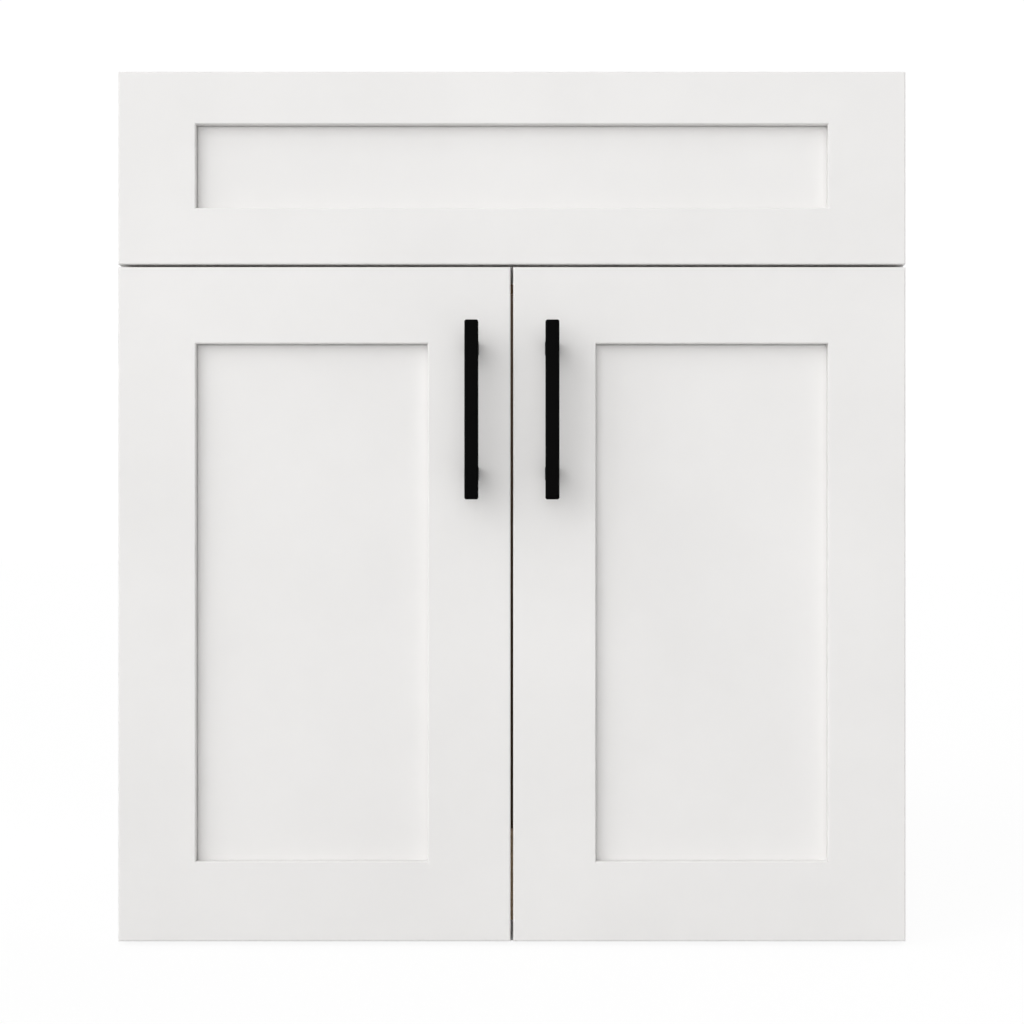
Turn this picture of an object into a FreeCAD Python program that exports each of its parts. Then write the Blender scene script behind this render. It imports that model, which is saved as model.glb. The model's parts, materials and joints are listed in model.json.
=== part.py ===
import FreeCAD, Part
import Sketcher
import os
import re

"""A wall-hung bathroom vanity base: an open-topped plywood carcass, a fixed false drawer front,
and two framed doors on concealed single-pivot cup hinges.

Frame: +X to the right seen from the front, -Y towards the person at the front, +Z up.
The origin is the middle of the cabinet's footprint, level with its underside. Millimetres.
"""

SIZES = {
    # the carcass
    "cabinet_width": 609.6,
    "cabinet_height": 673.1,
    "carcass_depth": 533.4,
    "board": 16,
    "back_thickness": 6,
    "back_groove_depth": 6,
    "board_slack": 0.1,
    "top_rail_depth": 90,
    "mid_rail_depth": 80,
    "mid_rail_lap": 11.3,
    "back_rail_height": 90,
    "brace_leg": 70,
    "brace_screw_inset": 22,
    "stud_spacing": 406.4,
    "wall_hole_radius": 2.5,
    # dowels and cam locks of the carcass
    "dowel_radius": 4,
    "dowel_in_rail": 20,
    "dowel_in_side": 10,
    "dowel_slack": 0.1,
    "dowel_inset": 22,
    "cam_radius": 7.5,
    "cam_depth": 12,
    "cam_setback": 34,
    "cam_bolt_radius": 3,
    "cam_bolt_in_side": 11,
    # the framed fronts
    "door_gap": 3,
    "door_thickness": 19,
    "front_gap": 2,
    "side_reveal": 1.6,
    "bottom_reveal": 3.3,
    "false_front_height": 148.5,
    "false_top_rail": 40.4,
    "false_bottom_rail": 43.6,
    "outer_stile": 59.7,
    "inner_stile": 63.8,
    "door_top_rail": 59,
    "door_bottom_rail": 61.5,
    "panel_recess": 9.5,
    "panel_thickness": 6.35,
    "panel_float": 1,
    "groove_depth": 10,
    "groove_slack": 0.1,
    "tongue_slack": 0.5,
    "opening_bevel": 0.8,
    "edge_round": 1.2,
    # false front brackets
    "bracket_leg": 26,
    "bracket_width": 20,
    "bracket_metal": 2,
    "bracket_inset": 36,
    "bracket_front_hole": 16.1,
    "bracket_side_hole": 15.6,
    "bracket_screw_bite": 11.4,
    # handles
    "handle_length": 136,
    "handle_width": 10.5,
    "handle_projection": 34,
    "handle_inset": 29.7,
    "handle_drop": 111.1,
    "handle_edge_round": 1,
    "handle_end_round": 1.5,
    "post_spacing": 96,
    "handle_screw_radius": 2,
    "handle_screw_bite": 9,
    "post_bore_slack": 0.5,
    # concealed hinges
    "hinge_drop": 100,
    "cup_radius": 17.5,
    "cup_depth": 13.5,
    "cup_wall": 0.9,
    "cup_edge": 3,
    "cup_flange": 1.2,
    "cup_flange_length": 58,
    "cup_flange_reach": 16.75,
    "cup_screw_spacing": 48,
    "cup_screw_offset": 9.5,
    "axis_edge": 7.4,
    "axis_depth": 10,
    "pin_radius": 1.2,
    "pin_reach": 8,
    "eye_wall": 1.1,
    "eye_slack": 0.05,
    "lug_gap": 0.4,
    "lug_rise": 2.2,
    "lug_length": 6.4,
    "arm_width": 10,
    "arm_metal": 2.2,
    "arm_stand": 10,
    "arm_reach": 62,
    "arm_bend": 3.6,
    "cheek_metal": 1.2,
    "cheek_setback": 5,
    "cheek_height": 6,
    "plate_setback": 37,
    "plate_base": 2,
    "plate_height": 50,
    "plate_width": 18,
    "plate_block": 44,
    "plate_screw_spacing": 32,
    "adjusting_spacing": 22,
    "hinge_screw_radius": 2,
    "hinge_screw_length": 11,
    "hinge_slack": 0.2,
    # screw heads, shared
    "head_radius": 3.6,
    "head_top_radius": 2.6,
    "head_height": 2,
    "screw_slack": 0.05,
    # bumpers
    "bumper_radius": 4,
    "bumper_gap": 0.3,
    "bumper_inset": 12,
    "bumper_drop": 6,
}

PLACES = {
    "overall_depth": "carcass_depth + door_gap + door_thickness + handle_projection",
    "rear_y": "overall_depth / 2",
    "carcass_y": "rear_y - carcass_depth",
    "door_back_y": "carcass_y - door_gap",
    "door_front_y": "door_back_y - door_thickness",
    "back_rail_y": "rear_y - board",
    "back_panel_y": "back_rail_y - back_thickness",
    "half_inside": "cabinet_width / 2 - board",
    "front_half": "cabinet_width / 2 - side_reveal",
    "false_front_z": "cabinet_height - false_front_height",
    "door_top": "false_front_z - front_gap",
    "mid_rail_z": "door_top - mid_rail_lap",
    "axis_y": "door_back_y - axis_depth",
    "axis_inset": "side_reveal + axis_edge",
    "cup_inset": "side_reveal + cup_edge + cup_radius",
    "eye_radius": "pin_radius + eye_wall",
    "arm_inset": "board + arm_stand",
    "plate_y": "carcass_y + plate_setback",
    "handle_x": "front_gap / 2 + handle_inset",
    "handle_z": "door_top - handle_drop",
    "bar_back_y": "door_front_y - handle_projection + handle_width",
}

DIRECTIONS = {
    "+x": FreeCAD.Rotation(FreeCAD.Vector(0, 1, 0), 90),
    "-x": FreeCAD.Rotation(FreeCAD.Vector(0, 1, 0), -90),
    "+y": FreeCAD.Rotation(FreeCAD.Vector(1, 0, 0), -90),
    "-y": FreeCAD.Rotation(FreeCAD.Vector(1, 0, 0), 90),
    "+z": FreeCAD.Rotation(),
    "-z": FreeCAD.Rotation(FreeCAD.Vector(1, 0, 0), 180),
}
OPPOSITE = {"+x": "-x", "-x": "+x", "+y": "-y", "-y": "+y", "+z": "-z", "-z": "+z"}
SIDES = ("left", "right")

# places this close are the same place
NEAR = 0.0001

document = FreeCAD.newDocument("Vanity")
sheet = document.addObject("Spreadsheet::Sheet", "Sizes")
for row, (alias, value) in enumerate(SIZES.items(), start=1):
    sheet.set("A%d" % row, alias)
    sheet.set("B%d" % row, str(value))
    sheet.setAlias("B%d" % row, alias)
document.recompute()

nodes = []
corners = {}


# ---------------------------------------------------------------- formulas and features

def formula(text):
    """Write a formula of size and place names as an expression on the sheet."""
    def cell(match):
        word = match.group(0)
        if word in PLACES:
            return "(" + formula(PLACES[word]) + ")"
        return "Sizes." + word if word in SIZES else word
    return re.sub(r"[a-z][a-z_]+", cell, str(text))


def size(text):
    """Work out a formula's present value."""
    return float(sheet.evalExpression(formula(text)))


def bind(item, **formulas):
    """Bind an object's properties to formulas."""
    for name, text in formulas.items():
        item.setExpression(name, formula(text))


def put(item, x, y, z, direction="+z"):
    """Turn an object to a direction and bind its place to formulas."""
    item.Placement = FreeCAD.Placement(FreeCAD.Vector(), DIRECTIONS[direction])
    item.setExpression("Placement.Base.x", formula(x))
    item.setExpression("Placement.Base.y", formula(y))
    item.setExpression("Placement.Base.z", formula(z))


def node(item, name):
    """Name a finished sub-part, which is written to a file of that name."""
    item.Label = name
    nodes.append(item)
    return item


def made_part(name):
    """Find a sub-part that is already made."""
    return [item for item in nodes if item.Label == name][0]


def member(name, x, y, z):
    """Start a body whose origin is at x, y, z in the cabinet's frame."""
    body = document.addObject("PartDesign::Body", name)
    put(body, x, y, z)
    corners[body.Name] = (x, y, z)
    return body


def piece(name, x, y, z):
    """Start a sub-part that is one body."""
    return node(member(name, x, y, z), name)


def local(body, *point):
    """Turn a point in the cabinet's frame into formulas in a body's own frame."""
    return ["(%s) - (%s)" % pair for pair in zip(point, corners[body.Name])]


def block(body, name, x, y, z, cut=False):
    """Add or cut a box. x, y and z are each a low and a high place in the cabinet's frame."""
    box = body.newObject("PartDesign::" + ("SubtractiveBox" if cut else "AdditiveBox"), name)
    put(box, *local(body, x[0], y[0], z[0]))
    bind(box, Length="(%s) - (%s)" % (x[1], x[0]))
    bind(box, Width="(%s) - (%s)" % (y[1], y[0]))
    bind(box, Height="(%s) - (%s)" % (z[1], z[0]))


def board(name, x, y, z):
    """Make a sub-part that is one squared board."""
    body = piece(name, x[0], y[0], z[0])
    block(body, "Blank", x, y, z)
    return body


def rod(body, name, start, direction, radius, length, cut=False):
    """Add or cut a cylinder that runs from start along a direction."""
    kind = "SubtractiveCylinder" if cut else "AdditiveCylinder"
    cylinder = body.newObject("PartDesign::" + kind, name)
    put(cylinder, *local(body, *start), direction)
    bind(cylinder, Radius=radius, Height=length)


def edges_at(shape, **planes):
    """Name the edges of a shape that lie in every given plane, such as XMin=0."""
    found = []
    for number, edge in enumerate(shape.Edges, start=1):
        box = edge.BoundBox
        low = {"X": box.XMin, "Y": box.YMin, "Z": box.ZMin}
        high = {"X": box.XMax, "Y": box.YMax, "Z": box.ZMax}
        if all(abs(low[axis] - at) < NEAR and abs(high[axis] - at) < NEAR for axis, at in planes.items()):
            found.append("Edge%d" % number)
    return found


def ease(body, name, radius, *planes):
    """Round the body's edges that lie in each set of planes, given as places in the body's frame."""
    document.recompute()
    base = body.Tip
    edges = []
    for wanted in planes:
        edges += edges_at(base.Shape, **wanted)
    fillet = body.newObject("PartDesign::Fillet", name)
    fillet.Base = (base, sorted(set(edges)))
    bind(fillet, Radius=radius)


def outline(body, name, plane, points):
    """Draw a closed sketch whose corners are bound to formulas, on one of the body's own planes."""
    sketch = body.newObject("Sketcher::SketchObject", name)
    origin = [part for part in body.Origin.OriginFeatures if part.Role == plane][0]
    sketch.AttachmentSupport = (origin, "")
    sketch.MapMode = "FlatFace"
    spots = [FreeCAD.Vector(*[size(text) for text in point], 0) for point in points]
    lines = []
    for number, spot in enumerate(spots):
        following = spots[(number + 1) % len(spots)]
        lines.append(sketch.addGeometry(Part.LineSegment(spot, following), False))
    for number, line in enumerate(lines):
        sketch.addConstraint(Sketcher.Constraint("Coincident", line, 2, lines[(number + 1) % len(lines)], 1))
    for line, point, spot in zip(lines, points, spots):
        for kind, axis_line, text, value in (("DistanceX", -2, point[0], spot.x),
                                             ("DistanceY", -1, point[1], spot.y)):
            if text == "0":
                sketch.addConstraint(Sketcher.Constraint("PointOnObject", line, 1, axis_line))
                continue
            index = sketch.addConstraint(Sketcher.Constraint(kind, -1, 1, line, 1, value))
            sketch.setExpression("Constraints[%d]" % index, formula(text))
    return sketch


def pad(body, name, sketch, length):
    """Pad a sketch away from its plane."""
    feature = body.newObject("PartDesign::Pad", name)
    feature.Profile = sketch
    bind(feature, Length=length)


def solid_rod(start, direction, radius, length):
    """Make a cylinder of its own, for a dowel, pin or screw."""
    cylinder = document.addObject("Part::Cylinder", "Rod")
    put(cylinder, *start, direction)
    bind(cylinder, Radius=radius, Height=length)
    return cylinder


def screw(start, direction, radius, length):
    """Make a pan-head screw whose head bears on start and whose shank runs along a direction."""
    shank = solid_rod(start, direction, radius, length)
    cap = document.addObject("Part::Cone", "Head")
    put(cap, *start, OPPOSITE[direction])
    bind(cap, Radius1="head_radius", Radius2="head_top_radius", Height="head_height")
    whole = document.addObject("Part::Fuse", "Screw")
    whole.Base = shank
    whole.Tool = cap
    return whole


def group(name, solids):
    """Join like pieces into one sub-part of separate solids."""
    compound = document.addObject("Part::Compound", name)
    compound.Links = solids
    return node(compound, name)


def inward(side, distance):
    """Give the x of a point that lies a distance in from the cabinet's left or right face."""
    if side == "left":
        return "(%s) - cabinet_width / 2" % distance
    return "cabinet_width / 2 - (%s)" % distance


def across(side, near, far):
    """Give the low and high x of a span measured in from the cabinet's left or right face."""
    ends = (inward(side, near), inward(side, far))
    return ends if side == "left" else ends[::-1]


def drill(body, name, start, direction, radius, length):
    """Bore a hole with screw clearance."""
    rod(body, name, start, direction, "(%s) + screw_slack" % radius, length, cut=True)


# ---------------------------------------------------------------- carcass

def carcass_boards():
    """Make the panels and rails of the carcass."""
    depth = ("carcass_y", "rear_y")
    width = ("-half_inside", "half_inside")
    boards = {}
    for side in SIDES:
        panel = board(side + "_side_panel", across(side, "0", "board"), depth, ("0", "cabinet_height"))
        block(panel, "BackGroove", across(side, "board - back_groove_depth", "board"),
              ("back_panel_y - board_slack", "back_rail_y + board_slack"),
              ("0", "cabinet_height"), cut=True)
        boards[side] = panel
    boards["bottom"] = board("bottom_panel", width, depth, ("0", "board"))
    boards["top"] = board("top_front_rail", width, ("carcass_y", "carcass_y + top_rail_depth"),
                          ("cabinet_height - board", "cabinet_height"))
    boards["mid"] = board("mid_rail", width, ("carcass_y", "carcass_y + mid_rail_depth"),
                          ("mid_rail_z", "mid_rail_z + board"))
    boards["upper"] = board("upper_back_rail", width, ("back_rail_y", "rear_y"),
                            ("cabinet_height - back_rail_height", "cabinet_height"))
    boards["lower"] = board("lower_back_rail", width, ("back_rail_y", "rear_y"),
                            ("board", "board + back_rail_height"))
    tuck = "half_inside + back_groove_depth - board_slack"
    boards["back"] = board("back_panel", ("-(%s)" % tuck, tuck), ("back_panel_y", "back_rail_y"),
                           ("board", "cabinet_height"))
    return boards


def wall_holes(boards):
    """Bore the four holes for the screws that hang the cabinet on its wall."""
    rises = {"upper": "cabinet_height - back_rail_height / 2", "lower": "board + back_rail_height / 2"}
    for key, rise in rises.items():
        for number, x in enumerate(("-stud_spacing / 2", "stud_spacing / 2")):
            name = "WallHole%s%d" % (key.title(), number)
            start = (x, "back_panel_y", rise)
            rod(boards[key], name, start, "+y", "wall_hole_radius", "back_thickness + board", cut=True)
            rod(boards["back"], name, start, "+y", "wall_hole_radius", "back_thickness", cut=True)


def carcass_joints(boards):
    """Bore the boards for dowels and cam locks, and make those fittings."""
    dowels, cams, bolts = [], [], []
    flat = {
        "bottom": ("board / 2", ("carcass_y + dowel_inset", "rear_y - board - 2 * dowel_inset"),
                   "carcass_y + carcass_depth / 2"),
        "top": ("cabinet_height - board / 2",
                ("carcass_y + dowel_inset", "carcass_y + top_rail_depth - dowel_inset"),
                "carcass_y + top_rail_depth / 2"),
        "mid": ("mid_rail_z + board / 2",
                ("carcass_y + dowel_inset", "carcass_y + mid_rail_depth - dowel_inset"),
                "carcass_y + mid_rail_depth / 2"),
    }
    upright = {
        "upper": "cabinet_height - back_rail_height / 2",
        "lower": "board + back_rail_height / 2",
    }
    for side, direction in zip(SIDES, ("+x", "-x")):
        face = inward(side, "board")
        cam_x = inward(side, "board + cam_setback")
        joints = []
        for key, (z, dowel_places, cam_y) in flat.items():
            spots = [(y, z) for y in dowel_places]
            joints.append((key, spots, (cam_y, z), (cam_x, cam_y, "(%s) - board / 2" % z), "+z"))
        for key, middle in upright.items():
            y = "back_rail_y + board / 2"
            spread = "back_rail_height / 2 - dowel_inset"
            spots = [(y, "%s - (%s)" % (middle, spread)), (y, "%s + %s" % (middle, spread))]
            joints.append((key, spots, (y, middle), (cam_x, "rear_y", middle), "-y"))
        for key, dowel_spots, bolt_spot, cam_start, cam_direction in joints:
            rail = boards[key]
            for number, (y, z) in enumerate(dowel_spots):
                name = "Dowel%s%s%d" % (side.title(), key.title(), number)
                drill(boards[side], name, (inward(side, "board - dowel_in_side - dowel_slack"), y, z),
                      direction, "dowel_radius", "dowel_in_side + dowel_slack")
                drill(rail, name, (face, y, z), direction, "dowel_radius", "dowel_in_rail + dowel_slack")
                dowels.append(solid_rod((inward(side, "board - dowel_in_side"), y, z), direction,
                                        "dowel_radius", "dowel_in_side + dowel_in_rail"))
            name = "Cam%s%s" % (side.title(), key.title())
            drill(rail, name, cam_start, cam_direction, "cam_radius", "cam_depth")
            cams.append(solid_rod(cam_start, cam_direction, "cam_radius", "cam_depth"))
            bolt_start = (inward(side, "board - cam_bolt_in_side"),) + bolt_spot
            drill(boards[side], name + "Bolt", bolt_start, direction, "cam_bolt_radius", "cam_bolt_in_side")
            drill(rail, name + "Bolt", (face,) + bolt_spot, direction, "cam_bolt_radius",
                  "cam_setback - cam_radius")
            bolts.append(solid_rod(bolt_start, direction, "cam_bolt_radius",
                                   "cam_bolt_in_side + cam_setback - cam_radius - dowel_slack"))
    group("carcass_dowels", dowels)
    group("cam_locks", cams)
    group("cam_bolts", bolts)


def corner_braces():
    """Make the two triangular blocks that square the carcass's rear top corners."""
    braces = []
    for side in SIDES:
        sign = "" if side == "left" else "-"
        body = member(side + "_corner_brace", inward(side, "board"), "back_panel_y",
                      "cabinet_height - board")
        triangle = outline(body, "Triangle", "XY_Plane",
                           [("0", "0"), (sign + "brace_leg", "0"), ("0", "-brace_leg")])
        pad(body, "Block", triangle, "board")
        drill(body, "TopScrewHole",
              (inward(side, "board + brace_screw_inset"), "back_panel_y - brace_screw_inset",
               "cabinet_height - board"), "+z", "hinge_screw_radius", "board")
        braces.append(body)
    group("corner_braces", braces)


# ---------------------------------------------------------------- framed fronts

def bevel(body, x, z):
    """Cut the sloped front edge of a frame's opening, which mitres at the opening's corners."""
    wedge = body.newObject("PartDesign::SubtractiveWedge", "OpeningBevel")
    left, bottom = local(body, x[0], "door_front_y", z[0])[::2]
    right, top = local(body, x[1], "door_front_y", z[1])[::2]
    bind(wedge, Ymin="-opening_bevel", Ymax="opening_bevel")
    bind(wedge, Xmin="%s - 2 * opening_bevel" % left, Xmax="%s + 2 * opening_bevel" % right)
    bind(wedge, Zmin="%s - 2 * opening_bevel" % bottom, Zmax="%s + 2 * opening_bevel" % top)
    bind(wedge, X2min=left, X2max=right, Z2min=bottom, Z2max=top)


def framed_front(prefix, x, z, stiles, rails, names):
    """Make a front of two stiles, two rails and a panel held in their grooves.

    stiles holds the left and right widths, rails the bottom and top heights, names the two stiles.
    """
    depth = ("door_front_y", "door_back_y")
    panel_y = ("door_front_y + panel_recess", "door_front_y + panel_recess + panel_thickness")
    groove_y = (panel_y[0] + " - groove_slack", panel_y[1] + " + groove_slack")
    gap_x = ("%s + (%s)" % (x[0], stiles[0]), "%s - (%s)" % (x[1], stiles[1]))
    gap_z = ("%s + (%s)" % (z[0], rails[0]), "%s - (%s)" % (z[1], rails[1]))
    height = size("(%s) - (%s)" % z[::-1])
    made = {}
    for name, span, groove, outer in (
            (names[0], (x[0], gap_x[0]), (gap_x[0] + " - groove_depth", gap_x[0]), 0),
            (names[1], (gap_x[1], x[1]), (gap_x[1], gap_x[1] + " + groove_depth"), size(stiles[1]))):
        stile = board(prefix + "_" + name, span, depth, z)
        block(stile, "Groove", groove, groove_y, z, cut=True)
        bevel(stile, gap_x, gap_z)
        ease(stile, "OuterEdges", "edge_round", {"X": outer, "Y": 0}, {"Z": 0, "Y": 0},
             {"Z": height, "Y": 0})
        made[name] = stile
    tongue = "groove_depth - tongue_slack"
    tongue_x = ("%s - (%s)" % (gap_x[0], tongue), "%s + %s" % (gap_x[1], tongue))
    for name, span, groove, outer in (
            ("bottom_rail", (z[0], gap_z[0]), (gap_z[0] + " - groove_depth", gap_z[0]), 0),
            ("top_rail", (gap_z[1], z[1]), (gap_z[1], gap_z[1] + " + groove_depth"), size(rails[1]))):
        rail = board(prefix + "_" + name, gap_x, depth, span)
        block(rail, "Tongue", tongue_x, panel_y, span)
        block(rail, "Groove", tongue_x, groove_y, groove, cut=True)
        bevel(rail, gap_x, gap_z)
        ease(rail, "OuterEdge", "edge_round", {"Z": outer, "Y": 0})
        made[name] = rail
    seat = "groove_depth - panel_float"
    made["panel"] = board(prefix + "_panel", ("%s - (%s)" % (gap_x[0], seat), "%s + %s" % (gap_x[1], seat)),
                          panel_y, ("%s - (%s)" % (gap_z[0], seat), "%s + %s" % (gap_z[1], seat)))
    return made


def false_front():
    """Make the fixed front at the top and the angle brackets that hold it."""
    made = framed_front("false_front", ("-front_half", "front_half"),
                        ("false_front_z", "cabinet_height"), ("outer_stile", "outer_stile"),
                        ("false_bottom_rail", "false_top_rail"), ("left_stile", "right_stile"))
    brackets, screws = [], []
    rises = {"upper": "cabinet_height - board - bracket_inset + bracket_width / 2",
             "lower": "false_front_z + bracket_inset"}
    for side, towards in zip(SIDES, ("-x", "+x")):
        stile = made[side + "_stile"]
        panel = made_part(side + "_side_panel")
        for level, z in rises.items():
            tall = ("%s - bracket_width / 2" % z, "%s + bracket_width / 2" % z)
            body = member("%s_%s_bracket" % (side, level), inward(side, "board"), "door_back_y", tall[0])
            brackets.append(body)
            block(body, "FrontLeg", across(side, "board", "board + bracket_leg"),
                  ("door_back_y", "door_back_y + bracket_metal"), tall)
            block(body, "SideLeg", across(side, "board", "board + bracket_metal"),
                  ("door_back_y", "carcass_y + bracket_leg"), tall)
            front_x = inward(side, "board + bracket_front_hole")
            side_y = "carcass_y + bracket_side_hole"
            name = "ScrewHole" + level.title()
            drill(body, "FrontHole", (front_x, "door_back_y + bracket_metal", z), "-y",
                  "hinge_screw_radius", "bracket_metal")
            drill(stile, name, (front_x, "door_back_y", z), "-y", "hinge_screw_radius",
                  "bracket_screw_bite")
            screws.append(screw((front_x, "door_back_y + bracket_metal", z), "-y", "hinge_screw_radius",
                                "bracket_screw_bite"))
            drill(body, "SideHole", (inward(side, "board + bracket_metal"), side_y, z), towards,
                  "hinge_screw_radius", "bracket_metal")
            drill(panel, name, (inward(side, "board"), side_y, z), towards, "hinge_screw_radius",
                  "hinge_screw_length")
            screws.append(screw((inward(side, "board + bracket_metal"), side_y, z), towards,
                                "hinge_screw_radius", "hinge_screw_length"))
    group("false_front_brackets", brackets)
    group("bracket_screws", screws)


def doors():
    """Make both doors with their handles, bumpers and hinges."""
    for side in SIDES:
        outward = "-" if side == "left" else ""
        inner, outer = "%sfront_gap / 2" % outward, "%sfront_half" % outward
        span = (outer, inner) if side == "left" else (inner, outer)
        widths = ("outer_stile", "inner_stile") if side == "left" else ("inner_stile", "outer_stile")
        stile_names = ("outer_stile", "inner_stile") if side == "left" else ("inner_stile", "outer_stile")
        made = framed_front(side + "_door", span, ("bottom_reveal", "door_top"), widths,
                            ("door_bottom_rail", "door_top_rail"), stile_names)
        handle(side, outward, made["inner_stile"])
        bumpers(side, outward)
        hinges(side, made["outer_stile"])


# ---------------------------------------------------------------- handles and bumpers

def handle(side, outward, stile):
    """Make a square bar handle, its two posts and the screws through the door."""
    middle = outward + "handle_x"
    half = "handle_width / 2"
    bar = board(side + "_handle_bar", ("%s - %s" % (middle, half), "%s + %s" % (middle, half)),
                ("bar_back_y - handle_width", "bar_back_y"),
                ("handle_z - handle_length / 2", "handle_z + handle_length / 2"))
    width, length = size("handle_width"), size("handle_length")
    ease(bar, "EndCorners", "handle_end_round",
         {"X": 0, "Z": 0}, {"X": width, "Z": 0}, {"X": 0, "Z": length}, {"X": width, "Z": length})
    ease(bar, "LongEdges", "handle_edge_round", {"Y": 0}, {"Y": width})
    posts, screws = [], []
    for number, lift in enumerate(("-", "+")):
        z = "handle_z %s post_spacing / 2" % lift
        post = document.addObject("Part::Box", "Post")
        put(post, "%s - %s" % (middle, half), "bar_back_y", "%s - %s" % (z, half))
        bind(post, Length="handle_width", Width="door_front_y - (bar_back_y)", Height="handle_width")
        bore = solid_rod((middle, "door_front_y", z), "-y", "handle_screw_radius + screw_slack",
                         "handle_screw_bite + post_bore_slack")
        tapped = document.addObject("Part::Cut", "TappedPost")
        tapped.Base = post
        tapped.Tool = bore
        posts.append(tapped)
        drill(stile, "HandleHole%d" % number, (middle, "door_back_y", z), "-y",
              "handle_screw_radius", "door_thickness")
        screws.append(screw((middle, "door_back_y", z), "-y", "handle_screw_radius",
                            "door_thickness + handle_screw_bite"))
    group(side + "_handle_posts", posts)
    group(side + "_handle_screws", screws)


def bumpers(side, outward):
    """Make the soft stops on the door's back, which meet the mid rail and the bottom panel."""
    x = "%s(front_gap / 2 + bumper_inset)" % outward
    group(side + "_door_bumpers",
          [solid_rod((x, "door_back_y", z), "+y", "bumper_radius", "door_gap - bumper_gap")
           for z in ("door_top - bumper_drop", "bottom_reveal + bumper_drop")])


# ---------------------------------------------------------------- hinges

def hinge_cup(side, level, z, stile):
    """Make a cup in the door's back, with its flange and the two lugs that hold the pin."""
    name = "%s_%s_hinge_cup" % (side, level)
    x = inward(side, "cup_inset")
    floor_y = "door_back_y - cup_depth"
    lug_z = "arm_width / 2 + lug_gap"

    def part_box(x_span, y_span, z_span):
        box = document.addObject("Part::Box", "Plate")
        put(box, x_span[0], y_span[0], z_span[0])
        bind(box, Length="(%s) - (%s)" % (x_span[1], x_span[0]))
        bind(box, Width="(%s) - (%s)" % (y_span[1], y_span[0]))
        bind(box, Height="(%s) - (%s)" % (z_span[1], z_span[0]))
        return box

    def join(kind, label, base, tools):
        result = document.addObject(kind, label)
        if kind == "Part::Cut":
            result.Base = base
            result.Tool = tools
        else:
            result.Shapes = [base] + tools
        return result

    shell = solid_rod((x, floor_y, z), "+y", "cup_radius", "cup_depth + cup_flange")
    flange = part_box(across(side, "cup_inset", "cup_inset + cup_flange_reach"),
                      ("door_back_y", "door_back_y + cup_flange"),
                      ("%s - cup_flange_length / 2" % z, "%s + cup_flange_length / 2" % z))
    body = join("Part::MultiFuse", "CupBody", shell, [flange])
    hollow = solid_rod((x, floor_y + " + cup_wall", z), "+y", "cup_radius - cup_wall",
                      "cup_depth + cup_flange")
    lugs = []
    for low, high in (("%s - (%s) - cup_radius" % (z, lug_z), "%s - (%s)" % (z, lug_z)),
                      ("%s + %s" % (z, lug_z), "%s + %s + cup_radius" % (z, lug_z))):
        lugs.append(part_box(across(side, "side_reveal + cup_edge", "axis_inset + lug_length / 2"),
                             (floor_y, "axis_y + lug_rise"), (low, high)))
    hollow = join("Part::Cut", "Hollow", hollow, lugs[0])
    hollow = join("Part::Cut", "Hollow", hollow, lugs[1])
    cup = join("Part::Cut", "Cup", body, hollow)
    pin_span = "arm_width / 2 + pin_reach / 2"
    pin_start = (inward(side, "axis_inset"), "axis_y", "%s - (%s)" % (z, pin_span))
    cup = join("Part::Cut", "Cup", cup, solid_rod(pin_start, "+z", "pin_radius + screw_slack",
                                                 "2 * (%s)" % pin_span))
    screw_x = inward(side, "cup_inset + cup_screw_offset")
    screws = []
    drill(stile, "CupBore" + level.title(), (x, "door_back_y", z), "-y", "cup_radius", "cup_depth")
    for number, lift in enumerate(("-", "+")):
        screw_z = "%s %s cup_screw_spacing / 2" % (z, lift)
        start = (screw_x, "door_back_y + cup_flange", screw_z)
        cup = join("Part::Cut", "Cup", cup, solid_rod(start, "-y", "hinge_screw_radius + screw_slack",
                                                     "cup_flange"))
        drill(stile, "CupScrew%s%d" % (level.title(), number), (screw_x, "door_back_y", screw_z), "-y",
              "hinge_screw_radius", "hinge_screw_length")
        screws.append(screw(start, "-y", "hinge_screw_radius", "hinge_screw_length"))
    node(cup, name)
    return solid_rod(pin_start, "+z", "pin_radius", "2 * (%s)" % pin_span), screws


def hinge_arm(side, level, z):
    """Make the goose-necked arm: an eye on the pin, a bend under the cup's mouth and a channel."""
    wide = ("%s - arm_width / 2" % z, "%s + arm_width / 2" % z)
    arm = piece("%s_%s_hinge_arm" % (side, level), inward(side, "arm_inset"), "axis_y", wide[0])
    outside = "arm_inset + arm_metal"
    block(arm, "Neck", across(side, "axis_inset", outside),
          ("axis_y - arm_metal / 2", "axis_y + arm_metal / 2"), wide)
    block(arm, "Spine", across(side, "arm_inset", outside),
          ("axis_y - arm_metal / 2", "carcass_y + arm_reach"), wide)
    sign = 1 if side == "left" else -1
    ease(arm, "OuterBend", "arm_bend", {"X": sign * size("arm_metal"), "Y": -size("arm_metal") / 2})
    ease(arm, "InnerBend", "arm_bend - arm_metal", {"X": 0, "Y": size("arm_metal") / 2})
    rod(arm, "Eye", (inward(side, "axis_inset"), "axis_y", wide[0]), "+z", "eye_radius", "arm_width")
    for name, span in (("LowerCheek", (wide[0], wide[0] + " + cheek_metal")),
                       ("UpperCheek", (wide[1] + " - cheek_metal", wide[1]))):
        block(arm, name, across(side, "arm_inset - cheek_height", "arm_inset"),
              ("carcass_y + cheek_setback", "carcass_y + arm_reach"), span)
    rod(arm, "EyeBore", (inward(side, "axis_inset"), "axis_y", wide[0]), "+z", "pin_radius + eye_slack",
        "arm_width", cut=True)
    return arm


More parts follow.
